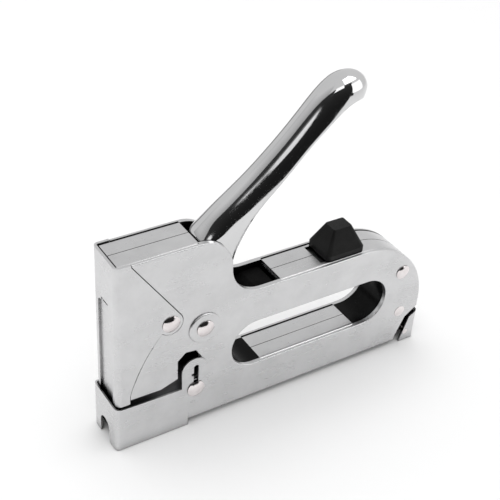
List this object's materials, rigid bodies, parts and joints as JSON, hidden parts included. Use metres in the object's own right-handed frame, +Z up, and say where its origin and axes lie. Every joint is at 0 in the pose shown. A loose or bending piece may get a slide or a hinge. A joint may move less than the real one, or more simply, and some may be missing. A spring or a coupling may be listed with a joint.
{
  "type": "hand staple gun",
  "caption": "Manual staple gun: pressed steel housing with a finger window, long lever handle, spring striker, sliding nose guide and pull-out magazine.",
  "frame": {"origin": "middle of the front bottom edge of the nose guide, on the surface the tool stands on", "axes": "+X from the nose to the rear of the magazine, +Y to the right side plate, +Z up towards the handle"},
  "size_m": [0.1632, 0.0248, 0.1525],
  "materials": {
    "plated_steel": "bright nickel-plated pressed steel, lightly brushed",
    "rivet_steel": "polished domed rivet heads",
    "chrome": "mirror chrome plating",
    "dark_steel": "oiled hardened steel",
    "zinc_steel": "bright zinc-plated sheet",
    "spring_steel": "oiled spring wire",
    "black_plastic": "moulded black plastic with a fine grain",
    "black_rubber": "black rubber"
  },
  "bodies": {
    "housing": {"left_side_plate": "plated_steel", "right_side_plate": "plated_steel", "left_inner_shell": "plated_steel", "right_inner_shell": "plated_steel", "front_cover": "plated_steel", "cover_rivets": "rivet_steel", "handle_pivot_pin": "rivet_steel", "nose_guide_rivets": "rivet_steel", "rear_rivet": "rivet_steel", "rear_cross_pin": "rivet_steel", "rear_spacer": "dark_steel", "spring_seat": "dark_steel", "bumper_shelf": "dark_steel", "hammer_bumper": "black_rubber", "handle_bumper": "black_rubber", "front_window_liner": "black_plastic", "rear_window_liner": "black_plastic", "main_spring": "spring_steel", "magazine_channel": "zinc_steel"},
    "handle": {"handle_lever": "chrome", "lifter_arm": "dark_steel", "lifter_rivet": "dark_steel", "pivot_bushes": "dark_steel"},
    "hammer": {"hammer_block": "dark_steel", "driver_blade": "dark_steel", "blade_rivet": "dark_steel"},
    "nose_guide": {"nose_guide": "plated_steel"},
    "magazine": {"staple_rail": "zinc_steel", "pusher_rod": "dark_steel", "magazine_end": "black_plastic", "latch_hinge_pin": "rivet_steel", "latch_spring": "spring_steel", "pusher_spring": "spring_steel"},
    "pusher": {"staple_pusher": "zinc_steel"},
    "latch": {"magazine_latch": "plated_steel"},
    "lock": {"lock_knob": "black_plastic", "lock_slide": "zinc_steel", "lock_screws": "dark_steel"}
  },
  "joints": [
    {"name": "handle_press", "type": "hinge", "parent": "housing", "child": "handle", "pos_m": [0.0419, 0, 0.0524], "axis": [0, 1, 0], "range_deg": [0, 36], "stiffness_Nm_per_rad": 1.3, "springref_deg": -44.69},
    {"name": "hammer_lift", "type": "slide", "parent": "housing", "child": "hammer", "axis": [0, 0, 1], "range_m": [0, 0.0162], "deforming": ["main_spring"]},
    {"name": "nose_guide_slide", "type": "slide", "parent": "housing", "child": "nose_guide", "axis": [0, 0, 1], "range_m": [-0.012, 0]},
    {"name": "handle_lock_slide", "type": "slide", "parent": "housing", "child": "lock", "axis": [1, 0, 0], "range_m": [-0.004, 0]},
    {"name": "magazine_slide", "type": "slide", "parent": "housing", "child": "magazine", "axis": [1, 0, 0], "range_m": [0, 0.11]},
    {"name": "pusher_slide", "type": "slide", "parent": "magazine", "child": "pusher", "axis": [1, 0, 0], "range_m": [0, 0.09], "stiffness_N_per_m": 40, "springref_m": -0.05, "deforming": ["pusher_spring"]},
    {"name": "latch_press", "type": "hinge", "parent": "magazine", "child": "latch", "pos_m": [0.1575, 0, 0.005], "axis": [0, -1, 0], "range_deg": [0, 10], "stiffness_Nm_per_rad": 0.3, "springref_deg": -17.19, "deforming": ["latch_spring"]}
  ],
  "couplings": [
    {"joint": "hammer_lift", "follows": "handle_press", "m_per_rad": 0.02558}
  ]
}
